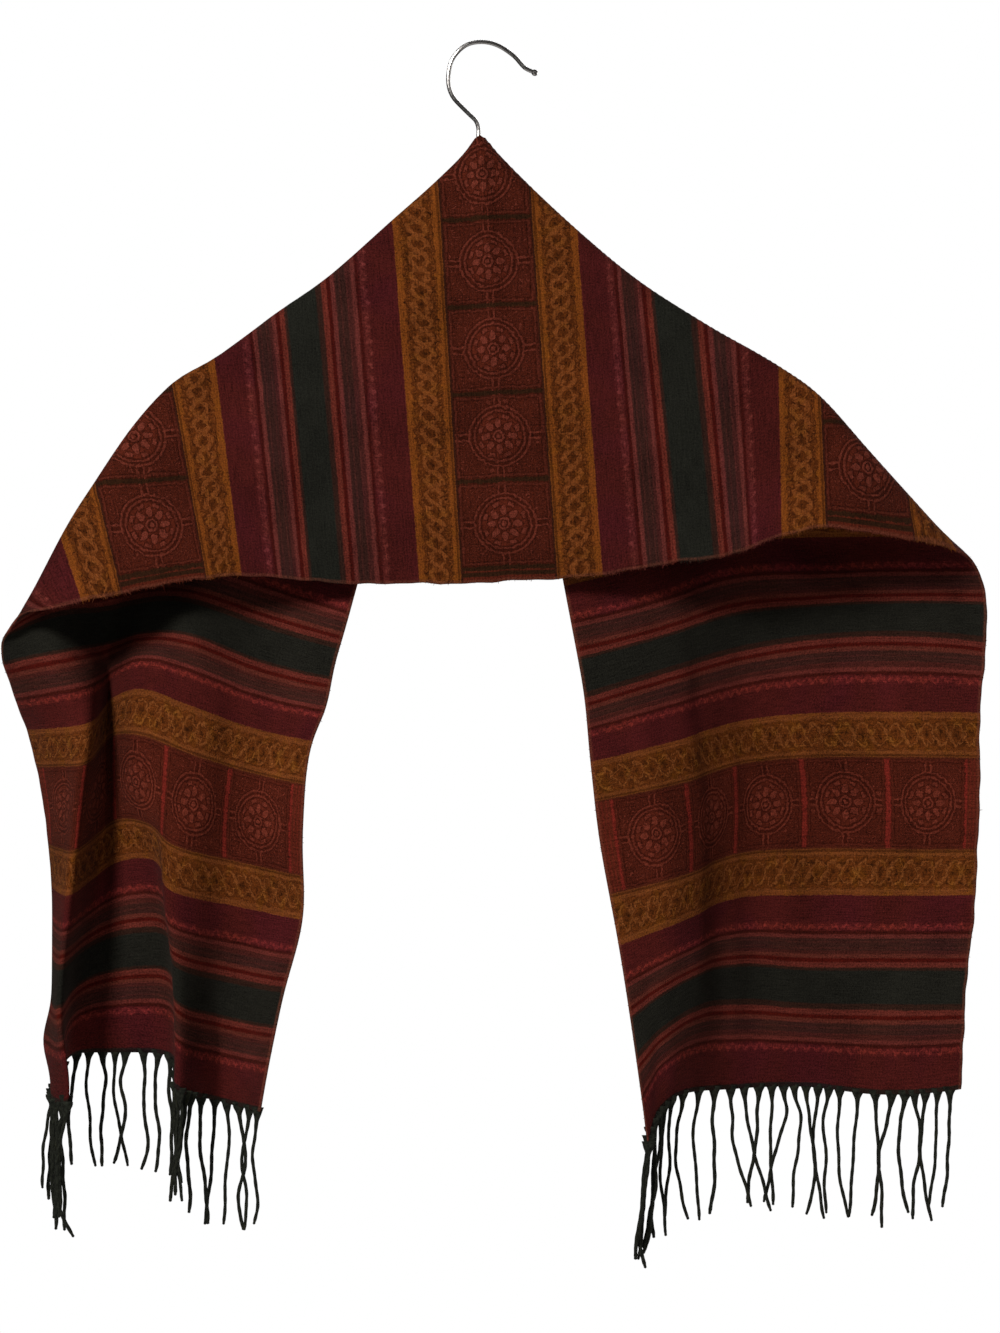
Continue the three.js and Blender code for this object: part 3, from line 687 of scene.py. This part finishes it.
class Kit:
    def __init__(self, name):
        self.material = bpy.data.materials.new(name)
        self.material.use_nodes = True
        self.nodes, self.links = self.material.node_tree.nodes, self.material.node_tree.links
        self.shader = next(n for n in self.nodes if n.type == "BSDF_PRINCIPLED")

    def feed(self, socket, value):
        if isinstance(value, Term):
            self.links.new(value.out, socket)
        elif isinstance(value, tuple):
            socket.default_value = (*value, 1.0)[: len(socket.default_value)]
        else:
            socket.default_value = value

    def node(self, kind, **props):
        made = self.nodes.new(kind)
        for key, value in props.items():
            setattr(made, key, value)
        return made

    def math(self, operation, *values, clamp=False):
        made = self.node("ShaderNodeMath", operation=operation, use_clamp=clamp)
        for socket, value in zip(made.inputs, values):
            self.feed(socket, value)
        return Term(self, made.outputs[0])

    def abs(self, x):
        return self.math("ABSOLUTE", x)

    def floor(self, x):
        return self.math("FLOOR", x)

    def fract(self, x):
        return self.math("FRACT", x)

    def sin(self, x):
        return self.math("SINE", x)

    def cos(self, x):
        return self.math("COSINE", x)

    def low(self, x, y):
        return self.math("MINIMUM", x, y)

    def high(self, x, y):
        return self.math("MAXIMUM", x, y)

    def remap(self, x, a, b, c=0.0, d=1.0):
        made = self.node("ShaderNodeMapRange", clamp=True)
        for socket, value in zip(made.inputs, (x, a, b, c, d)):
            self.feed(socket, value)
        return Term(self, made.outputs[0])

    def step(self, x, soft=0.5):
        """0 below 0 and 1 above it, over a soft edge."""
        return self.remap(x, -soft / 2, soft / 2)

    def line(self, d, half, soft=0.5):
        """1 within half of where d is 0."""
        return self.remap(self.abs(d), half - soft / 2, half + soft / 2, 1.0, 0.0)

    def vector(self, x, y=0.0, z=0.0):
        made = self.node("ShaderNodeCombineXYZ")
        for socket, value in zip(made.inputs, (x, y, z)):
            self.feed(socket, value)
        return Term(self, made.outputs[0])

    def noise(self, where, scale=1.0, detail=1.0, roughness=0.5):
        made = self.node("ShaderNodeTexNoise", noise_dimensions="3D")
        self.feed(made.inputs["Vector"], where)
        made.inputs["Scale"].default_value = scale
        made.inputs["Detail"].default_value = detail
        made.inputs["Roughness"].default_value = roughness
        return Term(self, made.outputs[0])

    def mix(self, share, a, b, blend="MIX"):
        made = self.node("ShaderNodeMix", data_type="RGBA", blend_type=blend)
        self.feed(made.inputs[0], share)
        self.feed(made.inputs[6], a)
        self.feed(made.inputs[7], b)
        return Term(self, made.outputs[2])

    def scale(self, colour, factor):
        made = self.node("ShaderNodeVectorMath", operation="SCALE")
        self.feed(made.inputs[0], colour)
        self.feed(made.inputs[3], factor)
        return Term(self, made.outputs[0])

    def ramp(self, x, stops):
        made = self.node("ShaderNodeValToRGB")
        self.feed(made.inputs[0], x)
        elements = made.color_ramp.elements
        elements[0].position, elements[0].color = stops[0][0], (*stops[0][1], 1)
        elements[1].position, elements[1].color = stops[-1][0], (*stops[-1][1], 1)
        for place, colour in stops[1:-1]:
            elements.new(place).color = (*colour, 1)
        return Term(self, made.outputs[0])

    def uv(self):
        made = self.node("ShaderNodeUVMap", uv_map="cloth")
        split = self.node("ShaderNodeSeparateXYZ")
        self.links.new(made.outputs[0], split.inputs[0])
        return Term(self, split.outputs[0]) * 1000.0, Term(self, split.outputs[1]) * 1000.0

    def bump(self, height, strength, distance):
        made = self.node("ShaderNodeBump")
        self.feed(made.inputs["Height"], height)
        made.inputs["Strength"].default_value = strength
        made.inputs["Distance"].default_value = distance
        return Term(self, made.outputs[0])

    def set(self, **values):
        for key, value in values.items():
            self.feed(self.shader.inputs[key.replace("_", " ")], value)


# Colours of the two sides. The reverse shows the same threads the other way up. The groove colour is painted shade: it
# stands in for the relief's shadow in the grooves beside the motif lines.
FACE = dict(
    ground=shade(76, 28, 16), motif=shade(100, 44, 32), groove_shade=shade(41, 11, 4), border=shade(46, 20, 11), bar=shade(42, 22, 10),
    gold=shade(111, 59, 25), gold_dark=shade(42, 17, 4), gold_field=shade(88, 42, 12), gold_edge=shade(108, 55, 17),
    burgundy=shade(66, 21, 18), grey=shade(50, 26, 21), warm=shade(62, 27, 23), red=shade(93, 37, 28), light_red=shade(88, 38, 33),
    red_core=shade(60, 13, 8), dark_line=shade(56, 14, 10), spot=shade(104, 44, 38), green=shade(28, 28, 23),
    thin_red=shade(90, 39, 34), gap=shade(44, 25, 19),
)
BACK = dict(
    ground=shade(79, 29, 17), motif=shade(104, 44, 31), groove_shade=shade(45, 11, 4), border=shade(70, 28, 15), bar=shade(104, 31, 23),
    gold=shade(114, 63, 28), gold_dark=shade(46, 20, 4), gold_field=shade(92, 45, 14), gold_edge=shade(100, 51, 21),
    burgundy=shade(68, 21, 18), grey=shade(54, 27, 21), warm=shade(64, 27, 21), red=shade(91, 37, 29), light_red=shade(85, 37, 28),
    red_core=shade(66, 14, 8), dark_line=shade(56, 16, 10), spot=shade(112, 39, 31), green=shade(28, 27, 22),
    thin_red=shade(88, 36, 30), gap=shade(44, 25, 18),
)
# Where the stripes change along one repeat, from the middle of one band of squares to the next.
# The two sides of the green stripe differ a little.
STRIPES = (
    (0.0, "ground"), (28.2, "border"), (29.6, "gold"), (58.6, "burgundy"), (82.0, "dark_line"), (84.3, "thin_red"),
    (87.0, "grey"), (95.0, "warm"), (97.4, "light_red"), (100.1, "red_core"), (102.9, "red"), (106.3, "gap"), (108.4, "green"),
)
STRIPES_AFTER = (
    (0.0, "ground"), (28.0, "border"), (29.6, "gold"), (58.6, "burgundy"), (81.3, "dark_line"), (83.7, "thin_red"),
    (86.4, "warm"), (89.6, "grey"), (96.5, "light_red"), (99.5, "red_core"), (102.1, "red"), (105.7, "gap"), (109.6, "green"),
)


def stripes(k, t, colours, rows):
    stops, soft = [], 0.4
    for i, (place, name) in enumerate(rows):
        colour = colours[name]
        if i:
            stops.append(((place - soft) / 120, colours[rows[i - 1][1]]))
            stops.append(((place + soft) / 120, colour))
        else:
            stops.append((0.0, colour))
    stops.append((1.0, colours[rows[-1][1]]))
    return k.ramp(t / 120.0, stops)


def squares(k, a, v, t, wobble, face):
    """A row of square panels: each a frame, two rings, a rosette, four links and leafy corners.
    Returns the share of motif colour, of painted shade in the grooves beside it and of the bars between panels."""
    q = (v - CELL_START) / CELL
    b = (k.fract(q) - 0.5) * CELL + wobble
    a = a + wobble * 0.7
    aa, bb = k.abs(a), k.abs(b)
    r = k.math("SQRT", a * a + b * b)
    turn = k.math("ARCTAN2", b, a)
    eight = k.cos(turn * 8.0)
    least = k.low(aa, bb)
    frame_line = k.abs(k.high(aa - 26.9, bb - 25.2))
    near = k.low(frame_line, k.abs(r - 19.3))
    near = k.low(near, k.abs(r - 16.3))
    # eight petals round an eye, with a bead between each two
    petal = r * r * (1.0 - eight) * 0.0095 + ((r - 8.6) * 0.31) * ((r - 8.6) * 0.31)
    near = k.low(near, k.high((petal - 0.75) * 3.0, 0.0))
    near = k.low(near, k.abs(r - 3.3))
    near = k.low(near, k.high(r - 0.9, 0.0))
    near = k.low(near, k.high(k.abs(r - 13.0) - 0.5, (eight + 0.4) * 3.4))
    near = k.low(near, k.high(k.abs(least - 1.9), 20.0 - r))
    leaf = k.noise(k.vector(aa * 0.19, bb * 0.19, k.floor(q) * 3.7), 1.0, 1.0)
    scroll = k.high(k.abs(k.sin(leaf * 30.0)) * 1.9, 21.4 - r)
    scroll = k.high(scroll, k.high(4.0 - least, k.high(aa - 24.6, bb - 22.9)))
    near = k.low(near, scroll)
    inner = k.line(v - 149.7, 141.5, 0.6)
    inside = inner * k.step(28.1 - t, 0.5)
    faded = 1.0 - k.remap(frame_line, 0.6, 1.2, 1.0, 0.0) * (0.5 if face else 0.6)
    # the petals stand out more than the rings
    core = k.remap(r, 11.0, 15.0, 1.2 if face else 1.0, 0.78)
    drawn = k.remap(near, 0.35, 1.0, 1.0, 0.0) * inside * faded * core
    # painted shade: the band on either side of each drawn line, and the slots by the frame, are darkened as the
    # relief's grooves would be in shadow
    groove_shade = k.remap(near, 1.0, 2.1, 1.0, 0.0) * inside - drawn
    slot = k.step(1.0 - least, 0.5) * k.step(r - 19.9, 0.4) * k.step(k.high(26.2 - aa, 24.6 - bb), 0.5) * inside * k.step(24.8 - bb, 0.5) * k.step(26.4 - aa, 0.5)
    drawn = drawn * (1.0 - slot)
    groove_shade = k.high(groove_shade, slot * 0.8)
    if face:
        bars = k.line(bb - 28.3, 1.5, 0.6) * k.step(28.4 - t, 0.5)
        bars = k.high(bars, k.line(v - 4.5, 1.4, 0.6) * k.step(28.4 - t, 0.5))
    else:
        middle_line = k.line(bb - 27.6, 0.9, 0.5)
        bars = k.high(middle_line, k.step(bb - 26.2, 0.4) * 0.45)
        bars = bars * k.step(28.4 - t, 0.5) * inner
        # painted shade also along the inside of the frame
        groove_shade = k.high(groove_shade, k.line(bb - 26.3, 0.4, 0.4) * inside * 0.7)
        drawn = drawn * k.step(25.9 - bb, 0.4)
        bars = k.high(bars, (1.0 - inner) * k.step(28.4 - t, 0.5) * k.remap(k.sin(v * 2.4), -0.1, 0.8) * 0.35)
    return drawn * (1.0 - bars), k.high(groove_shade, 0.0), bars


def knots(k, x, v, wobble, face):
    """A band of interlaced strands with an eye in each loop. Returns the share of light strand
    and of dark outline, and where the worked field lies between the plain edges."""
    pitch, reach, half = (10.2, 5.4, 1.5) if face else (10.6, 7.4, 0.8)
    x, w = x + wobble, v + wobble * 1.6
    wave = math.pi / pitch
    rise = k.sin(w * wave) * reach
    lean = k.cos(w * wave)
    slope = k.math("SQRT", lean * lean * (reach * wave) ** 2 + 1.0)
    one, two = k.abs(x - rise) / slope, k.abs(x + rise) / slope
    over = k.step(lean, 0.15)
    in_one, in_two = k.step(half - one, 0.6), k.step(half - two, 0.6)
    rim_half, soft = (0.7, 1.0) if face else (0.6, 0.7)
    edge_one = k.line(one - half - rim_half, rim_half, soft) * (1.0 - in_two * (1.0 - over))
    edge_two = k.line(two - half - rim_half, rim_half, soft) * (1.0 - in_one * over)
    strand = k.high(in_one, in_two)
    u = k.fract(w / pitch) - 0.5
    if face:
        # an eye in each loop and slanting nicks along both sides
        eye_r = k.math("SQRT", x * x + u * u * pitch * pitch)
        dark = k.step(1.7 - eye_r, 0.8)
        nick = k.fract((w + x * 1.3) / 4.6)
        outer = k.step(k.abs(x) - 7.0, 0.8)
        dark = k.high(dark, k.line(nick - 0.5, 0.16, 0.12) * outer)
        strand = k.high(strand, k.line(nick - 0.0, 0.2, 0.12) * outer * 0.8)
    else:
        dark = k.step(2.2 - (k.abs(x) * 0.55 + k.abs(u) * pitch), 0.9)
        cross = k.abs(k.fract(w / pitch + 0.5) - 0.5) * pitch
        dark = k.high(dark, k.step(1.5 - cross, 0.8) * k.line(k.abs(x) - 5.6, 1.7, 0.8) * 0.9)
    dark = k.high(k.high(edge_one, edge_two) * (0.85 if face else 0.65), dark)
    rim = k.line(k.abs(x) - 9.9, 0.4, 0.7)
    field = k.step(10.0 - k.abs(x), 0.5)
    return strand * field, k.high(dark * field * (1.0 - strand * 0.5), rim * 0.7), field


def cloth_material(name, face):
    k = Kit(name)
    c = FACE if face else BACK
    u, v = k.uv()
    length = k.abs(u)
    # unevenness of the hand of the weave: everything below drifts by a fraction of a millimetre
    drift = k.noise(k.vector(u * 0.11, v * 0.13, 2.0), 1.0, 2.0)
    wobble = (drift - 0.5) * 2.2
    fray = (k.noise(k.vector(u * 0.6, v * 0.45, 3.0), 1.0, 2.0, 0.6) - 0.5) * 1.5
    s = k.math("FLOORED_MODULO", u + wobble * 0.35 + fray, REPEAT)
    t = 120.0 - k.abs(s - 120.0)
    t = k.high(t, k.step(length - 640.0, 1.0) * 62.0)
    after = k.step(s - 120.0, 0.01)
    a = s - REPEAT * after

    colour = k.mix(after, stripes(k, t, c, STRIPES), stripes(k, t, c, STRIPES_AFTER))

    shiver = (k.noise(k.vector(u * 0.34, v * 0.34, 15.0), 1.0, 2.0, 0.6) - 0.5) * 3.4
    drawn, groove_shade, bars = squares(k, a, v, t, wobble * 0.8 + shiver, face)
    worn = k.noise(k.vector(u * 0.42, v * 0.42, 7.0), 1.0, 2.0)
    strength = k.remap(worn, 0.3, 0.62, 0.3, 1.0)
    # painted shade in the grooves beside the motif lines
    colour = k.mix(groove_shade * k.remap(strength, 0.3, 0.8, 0.6, 0.95), colour, c["groove_shade"])
    colour = k.mix(bars, colour, c["bar"])
    colour = k.mix(k.low(drawn * strength, 1.0), colour, c["motif"])

    x = t - 44.1
    jostle = (k.noise(k.vector(u * 0.24, v * 0.24, 13.0), 1.0, 1.0) - 0.5) * 6.5
    strand, dark, field = knots(k, x, v, wobble + jostle, face)
    in_gold = k.step(t - 29.6, 0.4) * k.step(58.6 - t, 0.4)
    colour = k.mix(in_gold, colour, c["gold_edge"])
    colour = k.mix(in_gold * field, colour, c["gold_field"])
    colour = k.mix(in_gold * strand * strength, colour, c["gold"])
    # the gold yarn is worn in places and dyed unevenly, yellower in patches
    patchy = k.remap(k.noise(k.vector(u * 0.2, v * 0.22, 27.0), 1.0, 2.0), 0.36, 0.6, 0.4, 1.0)
    dyed = k.noise(k.vector(u * 0.085, v * 0.1, 23.0), 1.0, 2.0)
    yellow = k.mix(1.0, colour, (1.12, 1.3, 0.7), "MULTIPLY")
    colour = k.mix(in_gold * k.remap(dyed, 0.5, 0.66) * (0.4 if face else 0.65), colour, yellow)
    colour = k.mix(in_gold * dark * strength * patchy, colour, c["gold_dark"])
    if not face:
        lattice = k.line(k.abs(x) - 11.6, 0.7, 0.6)
        colour = k.mix(in_gold * lattice * 0.35, colour, c["gold"])
    edge_line = k.line(t - 30.6, 0.7, 0.6)
    colour = k.mix(edge_line * 0.6, colour, c["gold_dark"])

    # a chain of red spots beside the dark line
    zig = k.abs(k.fract(v / 8.2 + wobble * 0.1) - 0.5) * 2.0
    at = 80.9 - zig * 2.6 - after * 0.5 + jostle * 0.5
    beads = k.step(1.5 - k.abs(t - at), 1.4) * k.step(t - 75.6, 0.8) * k.step(82.0 - t, 0.6)
    broken = k.remap(k.noise(k.vector(u * 0.45, v * 0.45, 17.0), 1.0, 1.0), 0.34, 0.58, 0.2, 1.0)
    tips = k.remap(zig, 0.3, 0.8, 0.3, 1.0) if face else k.remap(zig, 0.1, 0.6, 0.6, 1.0)
    haze = k.line(t - 79.2, 2.0, 2.4) * 0.38
    colour = k.mix(k.high(beads * tips * broken, haze * broken), colour, c["spot"])
    # thin broken lines on the grey stripe
    hint = k.line(t - 89.4, 0.5, 0.6) * 0.3 + k.line(t - 93.4, 0.5, 0.6) * 0.3
    colour = k.mix(hint * broken, colour, c["thin_red"])
    dashes = k.line(t - 104.4, 0.4, 0.5) * k.step(k.fract(v / 3.4 + jostle * 0.4) - 0.5, 0.3)
    colour = k.mix(dashes * 0.45, colour, c["dark_line"])
    # the hem is bound in the fringe's dark thread
    hem = k.step(length + wobble * 0.5 - (HALF - 2.6), 0.8)
    colour = k.mix(hem * 0.85, colour, shade(25, 25, 20))

    # threads: weft streaks across the scarf, warp grain, and a heathered fade
    weft = k.noise(k.vector(u * 1.35, v * 0.07, 1.0), 1.0, 2.0)
    warp = k.noise(k.vector(u * 0.09, v * 1.25, 4.0), 1.0, 1.0)
    grain = k.noise(k.vector(u * 0.85, v * 0.85, 9.0), 1.0, 2.0, 0.6)
    heather = k.noise(k.vector(u * 0.021, v * 0.027, 5.0), 1.0, 3.0)
    speck = k.noise(k.vector(u * 1.9, v * 1.9, 19.0), 1.0, 1.0)
    tone = k.high(weft * 1.3 + warp * 0.5 + grain * 2.2 + speck * 1.1 + heather * 0.8 - 1.95, 0.22)
    colour = k.scale(colour, tone)
    warm = k.noise(k.vector(u * 0.016, v * 0.02, 11.0), 1.0, 2.0)
    tinted = k.mix(1.0, colour, (0.9, 0.72, 1.55), "MULTIPLY")
    plain = k.step(t - 58.6, 0.5) * k.step(83.0 - t, 0.5) + k.step(t - 87.4, 0.5) * k.step(98.0 - t, 0.5) * 0.35
    colour = k.mix(k.remap(warm, 0.46, 0.64) * 0.42 * plain, colour, tinted)
    # rubbed selvages are a touch paler
    rub = k.step(1.3 - k.low(v, WIDTH - v), 1.2) * k.remap(grain, 0.35, 0.6, 0.1, 0.5)
    colour = k.mix(rub, colour, shade(112, 62, 46))
    k.set(Base_Color=colour)

    twill = k.sin((u + v) * (2 * math.pi / 1.7)) * 0.5 + k.sin((u - v * 0.2) * (2 * math.pi / 2.3)) * 0.3
    height = grain * 1.6 + weft * 1.0 + twill * 0.25 + drawn * 0.6 - dark * in_gold * 0.5 - (groove_shade + bars) * 0.4
    k.set(Normal=k.bump(height, 0.6, 0.0006))
    k.set(Roughness=k.remap(grain, 0.2, 0.8, 0.82, 0.98))
    k.set(Specular_IOR_Level=0.04, Sheen_Weight=0.02, Sheen_Roughness=0.5, Sheen_Tint=(0.9, 0.6, 0.5))
    return k.material


def yarn_material(name):
    k = Kit(name)
    u, v = k.uv()
    twist = k.sin((u * (2 * math.pi / 7.0) * 2.0) - v * (2 * math.pi / TWIST_PITCH) * 1.0)
    fibre = k.noise(k.vector(u * 1.2, v * 0.5, 1.0), 1.0, 3.0, 0.6)
    patch = k.noise(k.vector(u * 0.3, v * 0.05, 6.0), 1.0, 2.0)
    colour = k.mix(k.remap(fibre, 0.35, 0.7), shade(20, 20, 16), shade(42, 44, 36))
    colour = k.mix(k.remap(patch, 0.55, 0.75) * 0.5, colour, shade(46, 44, 28))
    # painted shade: the cord darkens along the grooves between its two plies, following the twist (the bump below
    # shapes the same plies)
    colour = k.scale(colour, k.remap(twist, -1.0, 1.0, 0.72, 1.12))
    k.set(Base_Color=colour)
    k.set(Normal=k.bump(fibre * 0.6 + twist * 0.5, 0.5, 0.0004))
    k.set(Roughness=k.remap(fibre, 0.2, 0.8, 0.8, 0.97))
    k.set(Specular_IOR_Level=0.05, Sheen_Weight=0.02, Sheen_Roughness=0.5)
    return k.material


def object_space(k):
    made = k.node("ShaderNodeTexCoord")
    split = k.node("ShaderNodeSeparateXYZ")
    k.links.new(made.outputs["Object"], split.inputs[0])
    return [Term(k, split.outputs[i]) * 1000.0 for i in range(3)]


def steel_material(name):
    k = Kit(name)
    x, y, z = object_space(k)
    drawn = k.noise(k.vector(x * 0.35, y * 2.2, z * 0.35), 1.0, 3.0, 0.6)
    dull = k.noise(k.vector(x * 0.08, y * 0.1, z * 0.08), 1.0, 3.0)
    colour = k.mix(k.remap(dull, 0.4, 0.7), shade(168, 164, 160), shade(120, 116, 112))
    k.set(Base_Color=colour, Metallic=1.0)
    k.set(Roughness=k.remap(drawn, 0.25, 0.75, 0.16, 0.34))
    k.set(Normal=k.bump(drawn, 0.12, 0.0002))
    return k.material


def wood_material(name):
    k = Kit(name)
    x, y, z = object_space(k)
    bend = k.noise(k.vector(x * 0.01, y * 0.05, z * 0.03), 1.0, 2.0)
    rings = k.noise(k.vector(x * 0.012, y * 0.5, z * 0.32 + bend * 6.0), 1.0, 4.0, 0.6)
    pores = k.noise(k.vector(x * 0.16, y * 2.6, z * 2.6), 1.0, 2.0)
    colour = k.mix(k.remap(rings, 0.35, 0.65), shade(88, 62, 42), shade(56, 38, 26))
    colour = k.mix(k.remap(pores, 0.62, 0.75) * 0.6, colour, shade(34, 24, 17))
    k.set(Base_Color=colour)
    k.set(Roughness=k.remap(rings, 0.3, 0.7, 0.5, 0.7), Specular_IOR_Level=0.15)
    k.set(Normal=k.bump(rings + pores * 0.5, 0.25, 0.0003))
    return k.material


face_cloth = cloth_material("cloth_face", True)
back_cloth = cloth_material("cloth_reverse", False)
yarn = yarn_material("fringe_yarn")
scarf.data.materials.append(face_cloth)
scarf.data.materials.append(back_cloth)
threads.data.materials.append(face_cloth)
fringe_right.data.materials.append(yarn)
fringe_left.data.materials.append(yarn)
for node, material in (("hanger_hook", steel_material("hook_steel")), ("hanger_arms", wood_material("hanger_wood"))):
    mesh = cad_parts[node].data
    mesh.materials.clear()
    mesh.materials.append(material)
    mesh.polygons.foreach_set("material_index", np.zeros(len(mesh.polygons), np.int32))
# the wire is round and the arms' edges are rolled, so they shade smoothly
for node in ("hanger_hook", "hanger_arms"):
    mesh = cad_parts[node].data
    mesh.polygons.foreach_set("use_smooth", np.ones(len(mesh.polygons), bool))
    mesh.update()

# ---------------------------------------------------------------- pieces
for piece in (scarf, threads, fringe_right, fringe_left):
    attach(piece, "root")
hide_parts("scarf_middle", "scarf_right_end", "scarf_left_end")
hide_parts("fringe_right")
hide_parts("fringe_left")

# ---------------------------------------------------------------- stage, light and camera
def plain(name, colour, roughness):
    k = Kit(name)
    x, y, z = object_space(k)
    soft = k.noise(k.vector(x * 0.002, y * 0.002, z * 0.002), 1.0, 2.0)
    k.set(Base_Color=k.mix(soft, colour, tuple(c * 0.985 for c in colour)))
    k.set(Roughness=roughness, Specular_IOR_Level=0.1)
    return k.material


floor_mesh = bpy.data.meshes.new("floor")
reach, level = 1.5, -1.45
floor_mesh.from_pydata(
    [(reach * math.cos(a), reach * math.sin(a), level) for a in np.linspace(0, 2 * math.pi, 96, endpoint=False)],
    [],
    [tuple(range(96))],
)
floor = bpy.data.objects.new("floor", floor_mesh)
bpy.context.scene.collection.objects.link(floor)
floor_mesh.materials.append(plain("pale_floor", (0.93, 0.93, 0.93), 0.9))

world = bpy.data.worlds.new("studio")
bpy.context.scene.world = world
world.use_nodes = True
tree = world.node_tree
background = next(n for n in tree.nodes if n.type == "BACKGROUND")
output = next(n for n in tree.nodes if n.type == "OUTPUT_WORLD")
background.inputs["Color"].default_value = (1, 1, 1, 1)
background.inputs["Strength"].default_value = 0.055
seen = tree.nodes.new("ShaderNodeBackground")
seen.inputs["Color"].default_value = (1, 1, 1, 1)
seen.inputs["Strength"].default_value = 1.0
path = tree.nodes.new("ShaderNodeLightPath")
choose = tree.nodes.new("ShaderNodeMixShader")
tree.links.new(path.outputs["Is Camera Ray"], choose.inputs[0])
tree.links.new(background.outputs[0], choose.inputs[1])
tree.links.new(seen.outputs[0], choose.inputs[2])
tree.links.new(choose.outputs[0], output.inputs["Surface"])


def lamp(name, place, target, size, power):
    data = bpy.data.lights.new(name, "AREA")
    data.shape, data.size, data.energy = "SQUARE", size, power
    made = bpy.data.objects.new(name, data)
    bpy.context.scene.collection.objects.link(made)
    made.location = place
    made.rotation_euler = (Vector(target) - Vector(place)).to_track_quat("-Z", "Y").to_euler()
    return made


middle = (0.0, 0.0, -0.40)
lamp("key", (-1.45, -2.3, 1.05), middle, 0.6, 88)
lamp("fill", (1.3, -2.6, 0.2), middle, 2.0, 9)
lamp("back", (0.6, 2.7, 0.5), middle, 1.8, 56)
lamp("side", (2.9, 0.7, -0.1), middle, 1.2, 30)

camera_data = bpy.data.cameras.new("camera")
camera = bpy.data.objects.new("camera", camera_data)
bpy.context.scene.collection.objects.link(camera)
camera.location = (0.0098, -2.0, -0.4077)
camera.rotation_euler = (math.pi / 2, 0, 0)
camera_data.sensor_fit = "AUTO"
camera_data.sensor_width = 36
camera_data.lens = 36 * 2000 / (1333 * 0.655)
camera_data.clip_start, camera_data.clip_end = 0.05, 40
bpy.context.scene.camera = camera
bpy.context.scene.view_settings.view_transform = "Standard"
bpy.context.scene.view_settings.look = "None"
bpy.context.scene.view_settings.exposure = 0
bpy.context.scene.view_settings.gamma = 1

bpy.context.view_layer.update()
